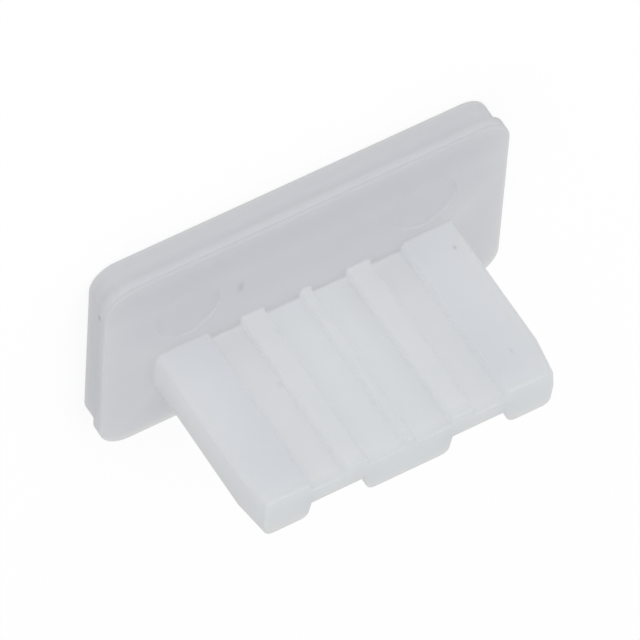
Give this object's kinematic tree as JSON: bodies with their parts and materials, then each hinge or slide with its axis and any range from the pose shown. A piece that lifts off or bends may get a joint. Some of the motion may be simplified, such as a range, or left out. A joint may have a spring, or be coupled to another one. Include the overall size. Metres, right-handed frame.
{
  "type": "usb port dust cover",
  "caption": "Soft moulded dust cover for a USB type A port: a rounded flange with a stepped lip and an offset, ribbed plug that fills the port beside its contact tongue.",
  "frame": {"origin": "middle of the flange's outer face, which the cover stands on", "axes": "+X along the cover's width, +Y along its height with the plug offset towards -Y, +Z along the plug, the way it goes into the port"},
  "size_m": [0.0164, 0.0092, 0.0088],
  "materials": {
    "natural_plastic": "natural, slightly translucent soft plastic with a fine matte moulded surface"
  },
  "bodies": {
    "root": {"dust_cover": "natural_plastic"}
  },
  "joints": []
}
